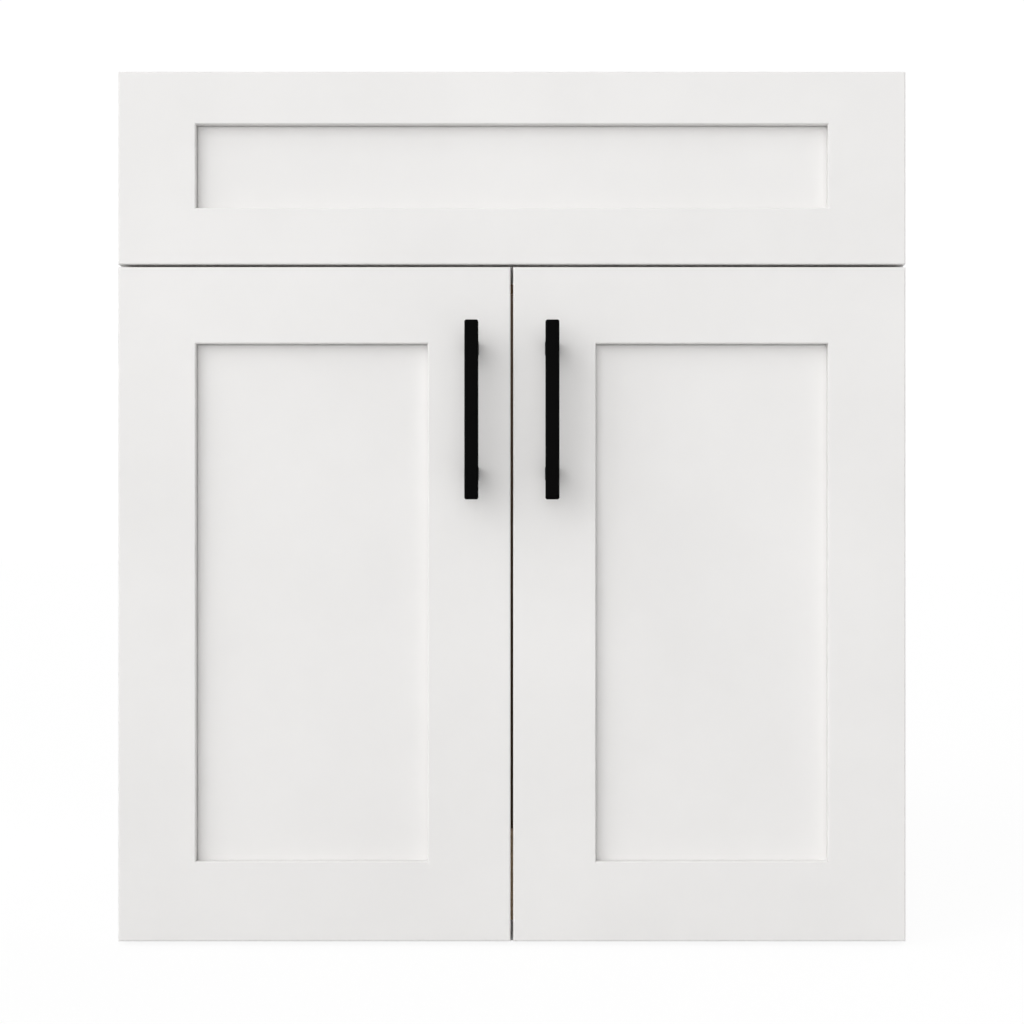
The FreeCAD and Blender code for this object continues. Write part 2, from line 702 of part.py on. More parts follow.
def hinge_plate(side, level, z, panel, arm):
    """Make the plate on the side panel that carries the arm, and the screws of both."""
    towards = "-x" if side == "left" else "+x"
    plate = piece("%s_%s_hinge_plate" % (side, level), inward(side, "board"), "plate_y", z)
    block(plate, "Base", across(side, "board", "board + plate_base"),
          ("plate_y - plate_width / 2", "plate_y + plate_width / 2"),
          ("%s - plate_height / 2" % z, "%s + plate_height / 2" % z))
    inside = "arm_width / 2 - cheek_metal - hinge_slack"
    block(plate, "Block", across(side, "board", "arm_inset"),
          ("plate_y - plate_block / 2", "plate_y + plate_block / 2"),
          ("%s - (%s)" % (z, inside), "%s + %s" % (z, inside)))
    plate_screws, arm_screws = [], []
    for number, lift in enumerate(("-", "+")):
        at = ("plate_y", "%s %s plate_screw_spacing / 2" % (z, lift))
        drill(plate, "PanelScrewHole%d" % number, (inward(side, "board + plate_base"),) + at, towards,
              "hinge_screw_radius", "plate_base")
        drill(panel, "Plate%sHole%d" % (level.title(), number), (inward(side, "board"),) + at, towards,
              "hinge_screw_radius", "hinge_screw_length")
        plate_screws.append(screw((inward(side, "board + plate_base"),) + at, towards,
                                  "hinge_screw_radius", "hinge_screw_length"))
    for number, y in enumerate(("plate_y - adjusting_spacing / 2", "plate_y + adjusting_spacing / 2")):
        drill(arm, "AdjustHole%d" % number, (inward(side, "arm_inset + arm_metal"), y, z), towards,
              "hinge_screw_radius", "arm_metal")
        drill(plate, "AdjustHole%d" % number, (inward(side, "arm_inset"), y, z), towards,
              "hinge_screw_radius", "arm_stand - plate_base")
        arm_screws.append(screw((inward(side, "arm_inset + arm_metal"), y, z), towards,
                                "hinge_screw_radius", "arm_stand - plate_base"))
    return plate_screws, arm_screws


def hinges(side, stile):
    """Make the two hinges of a door."""
    panel = made_part(side + "_side_panel")
    pins, cup_screws, plate_screws, arm_screws = [], [], [], []
    for level, z in (("upper", "door_top - hinge_drop"), ("lower", "bottom_reveal + hinge_drop")):
        pin, screws = hinge_cup(side, level, z, stile)
        arm = hinge_arm(side, level, z)
        on_panel, on_arm = hinge_plate(side, level, z, panel, arm)
        pins.append(pin)
        cup_screws += screws
        plate_screws += on_panel
        arm_screws += on_arm
    group(side + "_hinge_pins", pins)
    group(side + "_hinge_cup_screws", cup_screws)
    group(side + "_hinge_plate_screws", plate_screws)
    group(side + "_hinge_adjusting_screws", arm_screws)


# ---------------------------------------------------------------- build and write

def check():
    """Stop if any object failed, or if a sub-part's shape is missing or not valid."""
    for item in document.Objects:
        if "Invalid" in item.State or "Error" in item.State:
            raise RuntimeError("%s (%s) failed: %s" % (item.Label, item.Name, item.State))
    for item in nodes:
        if item.Shape.isNull() or not item.Shape.isValid() or not item.Shape.Solids:
            raise RuntimeError("%s has no valid solid" % item.Label)


def write():
    """Write each sub-part to parts/NAME.step."""
    os.makedirs("parts", exist_ok=True)
    for item in nodes:
        item.Shape.exportStep("parts/%s.step" % item.Label)
    print(len(nodes), "sub-parts written")


def main():
    boards = carcass_boards()
    wall_holes(boards)
    carcass_joints(boards)
    corner_braces()
    false_front()
    doors()
    document.recompute()
    check()
    write()


main()
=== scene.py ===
"""A wall-hung bathroom vanity base, finished for show around its CAD frame.

The file is laid out as an add-on: property groups hold what a person would change, one operator
makes each group of pieces, and main() calls them in order. Lengths are in metres.
"""

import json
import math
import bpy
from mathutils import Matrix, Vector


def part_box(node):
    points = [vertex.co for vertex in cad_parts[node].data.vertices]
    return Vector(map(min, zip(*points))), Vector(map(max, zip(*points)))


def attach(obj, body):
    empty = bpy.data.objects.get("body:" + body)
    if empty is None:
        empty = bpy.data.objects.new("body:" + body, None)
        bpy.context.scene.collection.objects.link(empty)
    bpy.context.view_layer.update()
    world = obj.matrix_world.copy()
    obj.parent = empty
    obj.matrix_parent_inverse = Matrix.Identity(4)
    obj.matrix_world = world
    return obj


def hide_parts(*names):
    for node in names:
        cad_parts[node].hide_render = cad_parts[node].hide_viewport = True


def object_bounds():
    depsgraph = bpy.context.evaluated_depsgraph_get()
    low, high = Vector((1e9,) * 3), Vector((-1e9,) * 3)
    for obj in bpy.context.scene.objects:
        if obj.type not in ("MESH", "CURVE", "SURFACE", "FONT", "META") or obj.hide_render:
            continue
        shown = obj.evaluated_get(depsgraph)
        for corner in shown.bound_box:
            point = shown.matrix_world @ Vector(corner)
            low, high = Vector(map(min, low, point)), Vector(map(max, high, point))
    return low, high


bl_info = {
    "name": "Bathroom Vanity Finish",
    "version": (1, 0, 0),
    "blender": (4, 5, 0),
    "location": "View3D > Sidebar > Vanity",
    "description": "Painted fronts, plywood carcass, handles and hinges of a vanity base",
    "category": "Object",
}

import bmesh
import bpy
import numpy as np
from bpy.props import FloatProperty, FloatVectorProperty, IntProperty, PointerProperty
from mathutils import Vector

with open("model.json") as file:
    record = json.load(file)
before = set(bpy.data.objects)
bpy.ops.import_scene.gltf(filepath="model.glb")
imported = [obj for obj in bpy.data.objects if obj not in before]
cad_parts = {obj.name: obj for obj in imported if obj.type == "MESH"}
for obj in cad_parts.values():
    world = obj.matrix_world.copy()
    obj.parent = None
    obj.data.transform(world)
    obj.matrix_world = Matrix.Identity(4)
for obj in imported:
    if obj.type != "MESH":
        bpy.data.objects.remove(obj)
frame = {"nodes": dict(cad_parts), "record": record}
cad_low, cad_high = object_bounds()

MM = 0.001
SIDES = ("left", "right")
MERGE = 0.001 * MM                     # corners nearer than this are one corner
FLAT_WITHIN = math.radians(0.2)        # faces that turn less than this are one face
EASED_OVER = math.radians(28)          # edges that turn more than this are rounded
SHARP_OVER = math.radians(40)          # edges that turn more than this stay sharp in the shading
BROAD_FACE = 4e-4                      # faces over this many square metres are shaded flat
BODY_OF = {node: body
           for body, nodes in frame["record"]["behaviour"]["bodies"].items() for node in nodes}
SLOT_COLOUR = {entry["slot"]: tuple(entry["base_color"][:3])
               for entry in frame["record"]["materials"]}


def nodes_named(*endings):
    """List the CAD nodes whose names end in any of these words."""
    return sorted(node for node in frame["nodes"] if node.endswith(endings))


# ---------------------------------------------------------------- settings

def colour(name, description, slot):
    """Declare a colour whose default is a material slot's own."""
    return FloatVectorProperty(name=name, description=description, subtype="COLOR", size=3,
                               min=0.0, max=1.0, default=SLOT_COLOUR[slot])


def length(name, description, default):
    """Declare a length in metres."""
    return FloatProperty(name=name, description=description, default=default, min=0.0,
                         unit="LENGTH", precision=5)


def share(name, description, default):
    """Declare a number from 0 to 1."""
    return FloatProperty(name=name, description=description, default=default, min=0.0, max=1.0,
                         subtype="FACTOR")


def strength(name, description, default):
    """Declare how strong a light is."""
    return FloatProperty(name=name, description=description, default=default, min=0.0)


class VanityPaint(bpy.types.PropertyGroup):
    """The satin paint on the fronts and the outside of the carcass."""

    white: colour("Paint", "Colour of the satin paint", "white_paint")
    sheen: share("Roughness", "Roughness of the dry paint", 0.42)
    mottle: share("Mottle", "How much the colour drifts over a front", 0.05)
    peel: length("Orange Peel", "Height of the sprayed paint's fine unevenness", 0.00003)


class VanityTimber(bpy.types.PropertyGroup):
    """The birch plywood of the carcass and the beech of its dowels."""

    birch: colour("Birch", "Colour of the face veneer", "birch_plywood")
    beech: colour("Beech", "Colour of the dowels", "beech")
    ply: length("Ply", "Thickness of one layer of the plywood", 0.00145)
    grain: share("Grain", "Contrast of the grain", 0.40)


class VanityMetal(bpy.types.PropertyGroup):
    """The powder coat of the handles and the plating of the fittings."""

    black: colour("Powder Coat", "Colour of the handles", "black_metal")
    nickel: colour("Nickel", "Colour of the hinges", "nickel_steel")
    zinc: colour("Zinc", "Colour of the brackets and cam locks", "zinc_steel")
    screw: colour("Screw Steel", "Colour of the screws", "screw_steel")


class VanityEdges(bpy.types.PropertyGroup):
    """How far each kind of piece has its sharp edges eased."""

    front: length("Fronts", "Easing of the painted frames", 0.00035)
    quirk: length("Shadow Line", "Width of the line between a panel and its frame", 0.00055)
    quirk_depth: length("Shadow Line Depth", "Depth of that line", 0.0009)
    board: length("Boards", "Easing of the carcass boards", 0.0005)
    metal: length("Metal", "Easing of the stamped fittings", 0.00025)
    handle: length("Handles", "Radius along the handles' edges", 0.0015)
    rings: IntProperty(name="Handle Rings", description="Steps round a handle's edge", default=6,
                       min=1, max=12)


class VanityFasteners(bpy.types.PropertyGroup):
    """The cross recess of the screws."""

    recess_span: share("Recess Span", "Width of the cross recess, as a share of the head", 0.62)
    recess_depth: share("Recess Depth", "Depth of the cross recess, as a share of the head", 0.75)
    slot_width: share("Slot Width", "Width of one arm of the cross, as a share of the head", 0.17)
    seed: IntProperty(name="Seed", description="Turns each screw to a different angle",
                      default=7, min=0)


class VanityStage(bpy.types.PropertyGroup):
    """The camera, the lights and the floor."""

    distance: length("Distance", "From the camera to the fronts", 1.75)
    width: length("View Width", "Width of what is seen at the fronts", 0.7884)
    aside: length("Aside", "How far right of the middle the camera stands", 0.0001)
    drop: length("Drop", "How far below the front's middle the camera looks", 0.0026)
    key: strength("Key", "Power of the key light in watts", 2.3)
    fill: strength("Fill", "Light from all round", 0.14)
    slant: strength("Slant", "Broad light from the upper left", 2.15)
    facing: strength("Facing", "Narrow light from straight in front", 2.15)
    beside: strength("Beside", "Light on the right side, from a little behind", 1.2)
    behind: strength("Behind", "Light on the back", 1.0)


GROUPS = {
    "vanity_paint": VanityPaint,
    "vanity_timber": VanityTimber,
    "vanity_metal": VanityMetal,
    "vanity_edges": VanityEdges,
    "vanity_fasteners": VanityFasteners,
    "vanity_stage": VanityStage,
}


# ---------------------------------------------------------------- node graphs

class Value:
    """An output socket on which arithmetic adds Math nodes."""

    def __init__(self, graph, socket):
        self.graph = graph
        self.socket = socket

    def __add__(self, other):
        return self.graph.math("ADD", self, other)

    def __sub__(self, other):
        return self.graph.math("SUBTRACT", self, other)

    def __mul__(self, other):
        return self.graph.math("MULTIPLY", self, other)

    def __truediv__(self, other):
        return self.graph.math("DIVIDE", self, other)

    def __radd__(self, other):
        return self.graph.math("ADD", other, self)

    def __rsub__(self, other):
        return self.graph.math("SUBTRACT", other, self)

    def __rmul__(self, other):
        return self.graph.math("MULTIPLY", other, self)

    def above(self, edge):
        return self.graph.math("GREATER_THAN", self, edge)

    def below(self, edge):
        return self.graph.math("LESS_THAN", self, edge)

    def power(self, exponent):
        return self.graph.math("POWER", self, exponent)

    def either(self, other):
        return self.graph.math("MAXIMUM", self, other)

    def step(self, size):
        return self.graph.math("FLOOR", self / size)

    def odd(self):
        return self.graph.math("FLOORED_MODULO", self, 2.0)


class Graph:
    """A node tree and the one method that adds a node to it."""

    def __init__(self, tree):
        self.tree = tree

    def add(self, kind, settings=None, inputs=(), output=0):
        """Add a node, set it up, feed its sockets by index or name, and give one of its outputs."""
        made = self.tree.nodes.new(kind)
        for name, value in (settings or {}).items():
            if name == "stops":
                self.set_stops(made.color_ramp, value)
            else:
                setattr(made, name, value)
        pairs = inputs.items() if isinstance(inputs, dict) else enumerate(inputs)
        for key, value in pairs:
            self.feed(made.inputs[key], value)
        return Value(self, made.outputs[output])

    def feed(self, socket, value):
        """Link a socket to a value, or set it to a constant."""
        if isinstance(value, Value):
            self.tree.links.new(value.socket, socket)
        else:
            socket.default_value = value

    @staticmethod
    def set_stops(ramp, stops):
        """Give a colour ramp its stops, as pairs of place and colour."""
        while len(ramp.elements) < len(stops):
            ramp.elements.new(0.5)
        for element, (place, tint) in zip(ramp.elements, stops):
            element.position = place
            element.color = (*tint, 1.0)

    def math(self, operation, *values):
        """Add one Math node."""
        return self.add("ShaderNodeMath", {"operation": operation}, values)

    def mix(self, first, second, factor):
        """Mix two colours."""
        tints = [tint if isinstance(tint, Value) else (*tint, 1.0) for tint in (first, second)]
        sockets = {0: factor, 6: tints[0], 7: tints[1]}
        return self.add("ShaderNodeMix", {"data_type": "RGBA"}, sockets, 2)

    def point(self):
        """Give the place on the piece."""
        return self.add("ShaderNodeTexCoord", output=3)

    def axes(self, point):
        """Split a place into x, y and z."""
        split = self.add("ShaderNodeSeparateXYZ", inputs=[point])
        return [Value(self, split.socket.node.outputs[axis]) for axis in range(3)]

    def stretched(self, point, scale):
        """Scale a place differently along each axis."""
        return self.add("ShaderNodeVectorMath", {"operation": "MULTIPLY"}, [point, scale])

    def noise(self, point, scale, detail=2.0, roughness=0.5, distortion=0.0):
        """Give smooth noise from 0 to 1."""
        return self.add("ShaderNodeTexNoise", inputs={
            "Vector": point, "Scale": scale, "Detail": detail, "Roughness": roughness,
            "Distortion": distortion})

    def bump(self, height, distance, strength=1.0):
        """Turn a height into a normal."""
        return self.add("ShaderNodeBump", inputs={
            "Strength": strength, "Distance": distance, "Height": height})


def new_finish(name):
    """Start a material and give its graph and its shader's inputs."""
    material = bpy.data.materials.new(name)
    material.use_nodes = True
    return material, Graph(material.node_tree), material.node_tree.nodes["Principled BSDF"].inputs


def tinted(tint, factor):
    """Make a colour lighter or darker."""
    return tuple(min(1.0, part * factor) for part in tint)


# ---------------------------------------------------------------- finishes

def paint_layer(graph, point):
    """Give the satin paint's colour, roughness and fine height."""
    paint = bpy.context.scene.vanity_paint
    drift = graph.noise(point, 7.0, 4.0, 0.6)
    tint = graph.mix(tinted(paint.white, 1 - paint.mottle), tinted(paint.white, 1 + paint.mottle),
                     drift)
    roughness = paint.sheen - 0.06 + 0.12 * graph.noise(point, 38.0, 3.0)
    peel = graph.noise(point, 620.0, 2.0)
    return tint, roughness, peel


def white_paint(name="satin_white_paint"):
    """The sprayed satin paint of the fronts."""
    material, graph, shader = new_finish(name)
    point = graph.point()
    tint, roughness, peel = paint_layer(graph, point)
    graph.feed(shader["Base Color"], tint)
    graph.feed(shader["Roughness"], roughness)
    graph.feed(shader["Normal"], graph.bump(peel, bpy.context.scene.vanity_paint.peel, 0.5))
    return material


def plywood(name, node, painted):
    """Birch plywood whose layers lie across a board's thickness, with paint where painted says.

    painted takes the graph and the three axes, and gives a mask that is 1 on painted places.
    """
    timber = bpy.context.scene.vanity_timber
    low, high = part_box(node)
    extent = high - low
    across = min(range(3), key=lambda axis: extent[axis])
    along = max(range(3), key=lambda axis: extent[axis])
    material, graph, shader = new_finish(name)
    point = graph.point()
    axes = graph.axes(point)
    sliver = 0.001
    depth = (axes[across] - low[across]) * (1 - 2 * sliver) + sliver * extent[across]
    plies = max(3, round(extent[across] / timber.ply) // 2 * 2 + 1)
    ply = extent[across] / plies
    layer = depth.step(ply)
    face_grain = [34.0, 34.0, 34.0]
    face_grain[along] = 1.6
    core_grain = [260.0, 260.0, 260.0]
    core_grain[3 - across - along] = 30.0
    broad_grain = [part * 0.2 for part in face_grain]
    slow = graph.noise(graph.stretched(point, broad_grain), 1.0, 3.0, 0.6, 2.2)
    streak = graph.noise(graph.stretched(point, face_grain), 1.0, 4.0, 0.65, 0.6)
    fine = graph.noise(graph.stretched(point, face_grain), 9.0, 5.0, 0.7)
    figure = graph.add("ShaderNodeValToRGB", {"stops": [
        (0.36, tinted(timber.birch, 1 - 0.75 * timber.grain)),
        (0.46, tinted(timber.birch, 1 - 0.22 * timber.grain)),
        (0.54, tinted(timber.birch, 1 + 0.30 * timber.grain)),
        (0.62, tinted(timber.birch, 1 - 0.10 * timber.grain)),
        (0.70, tinted(timber.birch, 1 - 0.50 * timber.grain))]},
        [slow * 0.45 + streak * 0.33 + fine * 0.22])
    core = graph.noise(graph.stretched(point, core_grain), 3.0, 4.0, 0.6)
    core_tint = graph.mix(tinted(timber.birch, 0.46), tinted(timber.birch, 0.86), core)
    wood = graph.mix(figure, core_tint, layer.odd())
    glue_share, glue_strength = 0.09, 0.55
    glue = (depth / ply - layer).below(glue_share)
    wood = graph.mix(wood, tinted(timber.birch, 0.34), glue * glue_strength)
    paint_tint, paint_roughness, peel = paint_layer(graph, point)
    mask = painted(graph, axes)
    graph.feed(shader["Base Color"], graph.mix(wood, paint_tint, mask))
    wood_roughness = 0.42 + 0.22 * fine
    graph.feed(shader["Roughness"], wood_roughness + (paint_roughness - wood_roughness) * mask)
    height = fine * (1 - mask) + peel * mask
    graph.feed(shader["Normal"], graph.bump(height, 0.00006, 0.5))
    return material


def hardboard(name="tempered_hardboard"):
    """Pressed hardboard, dark brown and darkened further as painted shade for the interior seen
    through the door gaps: smooth and faintly flecked inside, with a screen's print behind.
    """
    material, graph, shader = new_finish(name)
    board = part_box("back_panel")
    point = graph.point()
    across, back, up = graph.axes(point)
    tint = SLOT_COLOUR["hardboard"]
    fibre = graph.noise(graph.stretched(point, (1.0, 1.0, 0.6)), 900.0, 4.0, 0.7)
    cloud = graph.noise(point, 9.0, 4.0, 0.6)
    # Both tints sit below the board's own brown: painted shade, so the interior seen through the
    # door gaps reads darker.
    board_tone_and_gap_shade = graph.mix(tinted(tint, 0.35), tinted(tint, 0.95), fibre * 0.6 + cloud * 0.4)
    graph.feed(shader["Base Color"], board_tone_and_gap_shade)
    mesh_pitch = 1.3 * MM
    turn = 2 * math.pi / mesh_pitch
    screen = graph.math("SINE", across * turn) * graph.math("SINE", up * turn)
    behind = back.above((board[0].y + board[1].y) / 2)
    graph.feed(shader["Roughness"], 0.38 + 0.14 * fibre + 0.2 * behind)
    graph.feed(shader["Normal"], graph.bump(fibre * 0.3 + screen * behind, 0.00012, 0.7))
    return material


def black_coat(name="matte_black_coat"):
    """The fine-textured powder coat of the handles."""
    material, graph, shader = new_finish(name)
    point = graph.point()
    black = bpy.context.scene.vanity_metal.black
    speckle = graph.noise(point, 2300.0, 2.0)
    rub = graph.noise(point, 26.0, 4.0, 0.65)
    graph.feed(shader["Base Color"], graph.mix(tinted(black, 0.06), tinted(black, 0.2), rub))
    graph.feed(shader["Roughness"], 0.5 + 0.14 * speckle)
    graph.feed(shader["Normal"], graph.bump(speckle, 0.00002, 0.6))
    shader["Specular IOR Level"].default_value = 0.03
    return material


def plated(name, tint, roughness, along=2):
    """Plated sheet steel with faint drawing lines along an axis."""
    material, graph, shader = new_finish(name)
    point = graph.point()
    scale = [420.0, 420.0, 420.0]
    scale[along] = 18.0
    lines = graph.noise(graph.stretched(point, scale), 6.0, 3.0)
    cloud = graph.noise(point, 90.0, 4.0, 0.6)
    graph.feed(shader["Base Color"], graph.mix(tinted(tint, 0.82), tinted(tint, 1.08), cloud))
    graph.feed(shader["Roughness"], roughness - 0.05 + 0.1 * lines + 0.08 * cloud)
    graph.feed(shader["Normal"], graph.bump(lines, 0.00001, 0.4))
    shader["Metallic"].default_value = 1.0
    return material


def soft_bumper(name="translucent_bumper"):
    """The milky polyurethane of the door bumpers."""
    material, graph, shader = new_finish(name)
    point = graph.point()
    haze = graph.noise(point, 400.0, 3.0)
    tint = SLOT_COLOUR["clear_bumper"]
    graph.feed(shader["Base Color"], graph.mix(tinted(tint, 0.9), tinted(tint, 1.06), haze))
    graph.feed(shader["Roughness"], 0.22 + 0.16 * haze)
    shader["Transmission Weight"].default_value = 0.35
    shader["Coat Weight"].default_value = 0.4
    return material


def beech_wood(name="dowel_beech"):
    """The plain beech of the dowels."""
    material, graph, shader = new_finish(name)
    point = graph.point()
    grain = graph.noise(graph.stretched(point, (40.0, 700.0, 700.0)), 1.5, 4.0)
    beech = bpy.context.scene.vanity_timber.beech
    graph.feed(shader["Base Color"], graph.mix(tinted(beech, 0.72), tinted(beech, 1.12), grain))
    graph.feed(shader["Roughness"], 0.5 + 0.2 * grain)
    graph.feed(shader["Normal"], graph.bump(grain, 0.00005, 0.5))
    return material


def finish(name, make, *settings):
    """Give a material by name, making it the first time."""
    return bpy.data.materials.get(name) or make(name, *settings)


# ---------------------------------------------------------------- meshes

def joined_copy(node):
    """Copy a CAD node's triangles, and merge their shared corners and their flat neighbours."""
    mesh = bmesh.new()
    mesh.from_mesh(frame["nodes"][node].data)
    bmesh.ops.remove_doubles(mesh, verts=mesh.verts, dist=MERGE)
    bmesh.ops.dissolve_limit(mesh, angle_limit=FLAT_WITHIN, verts=mesh.verts, edges=mesh.edges)
    return mesh


def ease_edges(mesh, width, segments, beside=()):
    """Round a mesh's sharp edges, apart from those that lie against a neighbouring CAD node."""
    boxes = [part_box(node) for node in beside]
    reach = 0.05 * MM

    def hidden(edge):
        middle = (edge.verts[0].co + edge.verts[1].co) / 2
        return any(all(low[axis] - reach < middle[axis] < high[axis] + reach
                       for axis in range(3)) for low, high in boxes)

    sharp = [edge for edge in mesh.edges
             if len(edge.link_faces) == 2 and edge.calc_face_angle(0.0) > EASED_OVER
             and not hidden(edge)]
    if sharp:
        bmesh.ops.bevel(mesh, geom=sharp, offset=width, offset_type="OFFSET", segments=segments,
                        profile=0.5, affect="EDGES", clamp_overlap=True, loop_slide=False)
    return mesh


def finished(mesh, name, material):
    """Turn a bmesh into an object in the scene."""
    data = bpy.data.meshes.new(name)
    mesh.to_mesh(data)
    mesh.free()
    data.materials.append(material)
    made = bpy.data.objects.new(name, data)
    bpy.context.scene.collection.objects.link(made)
    smooth(made)
    return made


def smooth(made):
    """Shade a piece smoothly, apart from its broad faces, which stay flat."""
    made.data.shade_smooth()
    made.data.set_sharp_from_angle(angle=SHARP_OVER)
    for face in made.data.polygons:
        face.use_smooth = face.area < BROAD_FACE
    made.modifiers.new("Flats", "WEIGHTED_NORMAL").keep_sharp = True


def stand_for(made, *nodes):
    """Put a piece in the place of CAD nodes: it hides them and rides on their body."""
    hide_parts(*nodes)
    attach(made, BODY_OF[nodes[0]])
    return made


def eased_piece(node, width, material, segments=2, beside=()):
    """Make the finished piece that stands for one CAD node."""
    mesh = ease_edges(joined_copy(node), width, segments, beside)
    return stand_for(finished(mesh, node + "_finished", material), node)


# ---------------------------------------------------------------- repeated fittings

def solids_of(node):
    """List the separate solids of a CAD node, each as an array of its corners."""
    mesh = bmesh.new()
    mesh.from_mesh(frame["nodes"][node].data)
    bmesh.ops.remove_doubles(mesh, verts=mesh.verts, dist=MERGE)
    found, seen = [], set()
    for start in mesh.verts:
        if start in seen:
            continue
        corners, waiting = [], [start]
        seen.add(start)
        while waiting:
            corner = waiting.pop()
            corners.append(corner.co[:])
            for edge in corner.link_edges:
                other = edge.other_vert(corner)
                if other not in seen:
                    seen.add(other)
                    waiting.append(other)
        found.append(np.array(corners))
    mesh.free()
    return found


def tree_with(name, inputs):
    """Start a Geometry Nodes tree with named inputs, and give its graph and those inputs."""
    tree = bpy.data.node_groups.new(name, "GeometryNodeTree")
    tree.interface.new_socket("Geometry", in_out="INPUT", socket_type="NodeSocketGeometry")
    tree.interface.new_socket("Geometry", in_out="OUTPUT", socket_type="NodeSocketGeometry")
    for label, (kind, default) in inputs.items():
        socket = tree.interface.new_socket(label, in_out="INPUT", socket_type=kind)
        if default is not None:
            socket.default_value = default
    graph = Graph(tree)
    group = tree.nodes.new("NodeGroupInput")
    given = {label: Value(graph, group.outputs[label]) for label in ("Geometry", *inputs)}
    return tree, graph, given


def grow(name, tree, points, aims, values):
    """Run a tree on a set of aimed points and give the plain mesh object that it makes."""
    data = bpy.data.meshes.new(name)
    data.from_pydata(points, [], [])
    data.attributes.new("aim", "FLOAT_VECTOR", "POINT").data.foreach_set(
        "vector", np.array(aims, dtype=np.float32).ravel())
    source = bpy.data.objects.new(name + "_points", data)
    bpy.context.scene.collection.objects.link(source)
    modifier = source.modifiers.new("Fittings", "NODES")
    modifier.node_group = tree
    for item in tree.interface.items_tree:
        if item.in_out == "INPUT" and item.name in values:
            modifier[item.identifier] = values[item.name]
    bpy.context.view_layer.update()
    depsgraph = bpy.context.evaluated_depsgraph_get()
    grown = bpy.data.meshes.new_from_object(source.evaluated_get(depsgraph), depsgraph=depsgraph)
    bpy.data.objects.remove(source)
    grown.name = name
    made = bpy.data.objects.new(name, grown)
    bpy.context.scene.collection.objects.link(made)
    smooth(made)
    return made


FLOAT = "NodeSocketFloat"


def driven_tree():
    """Build the tree of a fitting with a domed head, a cross recess and a plain shank."""
    tree, graph, given = tree_with("driven_fitting", {
        "Head Radius": (FLOAT, 0.0036), "Head Height": (FLOAT, 0.002),
        "Shank Radius": (FLOAT, 0.002), "Shank Length": (FLOAT, 0.011),
        "Recess Span": (FLOAT, 0.62), "Recess Depth": (FLOAT, 0.75), "Slot Width": (FLOAT, 0.17),
        "Seed": ("NodeSocketInt", 7), "Finish": ("NodeSocketMaterial", None)})
    head_radius, head_height = given["Head Radius"], given["Head Height"]
    rim_segments, shank_segments = 32, 20
    ball = graph.add("GeometryNodeMeshUVSphere",
                     inputs={"Segments": rim_segments, "Rings": 24, "Radius": 1.0})
    upper = graph.add("ShaderNodeMath", {"operation": "LESS_THAN"},
                      [graph.axes(graph.add("GeometryNodeInputPosition"))[2], -0.01])
    dome = graph.add("GeometryNodeDeleteGeometry", inputs={"Geometry": ball, "Selection": upper})
    size = graph.add("ShaderNodeCombineXYZ", inputs=[head_radius, head_radius, head_height])
    dome = graph.add("GeometryNodeTransform", inputs={"Geometry": dome, "Scale": size})
    under = graph.add("GeometryNodeMeshCircle", {"fill_type": "NGON"},
                      {"Vertices": rim_segments, "Radius": head_radius})
    under = graph.add("GeometryNodeFlipFaces", inputs={"Mesh": under})
    head = graph.add("GeometryNodeJoinGeometry", inputs={"Geometry": dome})
    graph.feed(head.socket.node.inputs["Geometry"], under)
    head = graph.add("GeometryNodeMergeByDistance",
                     inputs={"Geometry": head, "Distance": 0.02 * MM})
    depth = head_height * given["Recess Depth"]
    span = head_radius * 2.0 * given["Recess Span"]
    slot = head_radius * 2.0 * given["Slot Width"]
    lift = graph.add("ShaderNodeCombineXYZ", inputs=[0.0, 0.0, head_height * 1.5 - depth])
    arms = []
    for sizes in ((span, slot), (slot, span)):
        arm_size = graph.add("ShaderNodeCombineXYZ", inputs=[*sizes, head_height])
        arm = graph.add("GeometryNodeMeshCube", inputs={"Size": arm_size})
        arms.append(graph.add("GeometryNodeTransform",
                              inputs={"Geometry": arm, "Translation": lift}))
    cut = graph.add("GeometryNodeMeshBoolean", {"operation": "DIFFERENCE"}, {0: head, 1: arms[0]})
    graph.feed(cut.socket.node.inputs[1], arms[1])
    shank = graph.add("GeometryNodeMeshCylinder", inputs={
        "Vertices": shank_segments, "Radius": given["Shank Radius"],
        "Depth": given["Shank Length"]})
    drop = graph.add("ShaderNodeCombineXYZ", inputs=[0.0, 0.0, given["Shank Length"] * -0.5])
    shank = graph.add("GeometryNodeTransform", inputs={"Geometry": shank, "Translation": drop})
    whole = graph.add("GeometryNodeJoinGeometry", inputs={"Geometry": cut})
    graph.feed(whole.socket.node.inputs["Geometry"], shank)
    finish_instances(graph, tree, given, whole)
    return tree


def finish_instances(graph, tree, given, template):
    """Set a template on every point, aimed and turned, and give it its finish."""
    aim = graph.add("GeometryNodeInputNamedAttribute", {"data_type": "FLOAT_VECTOR"},
                    {"Name": "aim"})
    turn = graph.add("FunctionNodeAlignRotationToVector", {"axis": "Z"}, {"Vector": aim})
    roll = graph.add("FunctionNodeRandomValue", {"data_type": "FLOAT"},
                     {"Min": 0.0, "Max": math.pi / 2, "Seed": given["Seed"]}, 1)
    own = graph.add("ShaderNodeCombineXYZ", inputs=[0.0, 0.0, roll])
    rolled = graph.add("FunctionNodeRotateRotation", {"rotation_space": "LOCAL"}, [turn, own])
    placed = graph.add("GeometryNodeInstanceOnPoints", inputs={
        "Points": given["Geometry"], "Instance": template, "Rotation": rolled})
    real = graph.add("GeometryNodeRealizeInstances", inputs=[placed])
    coated = graph.add("GeometryNodeSetMaterial",
                       inputs={"Geometry": real, "Material": given["Finish"]})
    graph.feed(tree.nodes.new("NodeGroupOutput").inputs[0], coated)


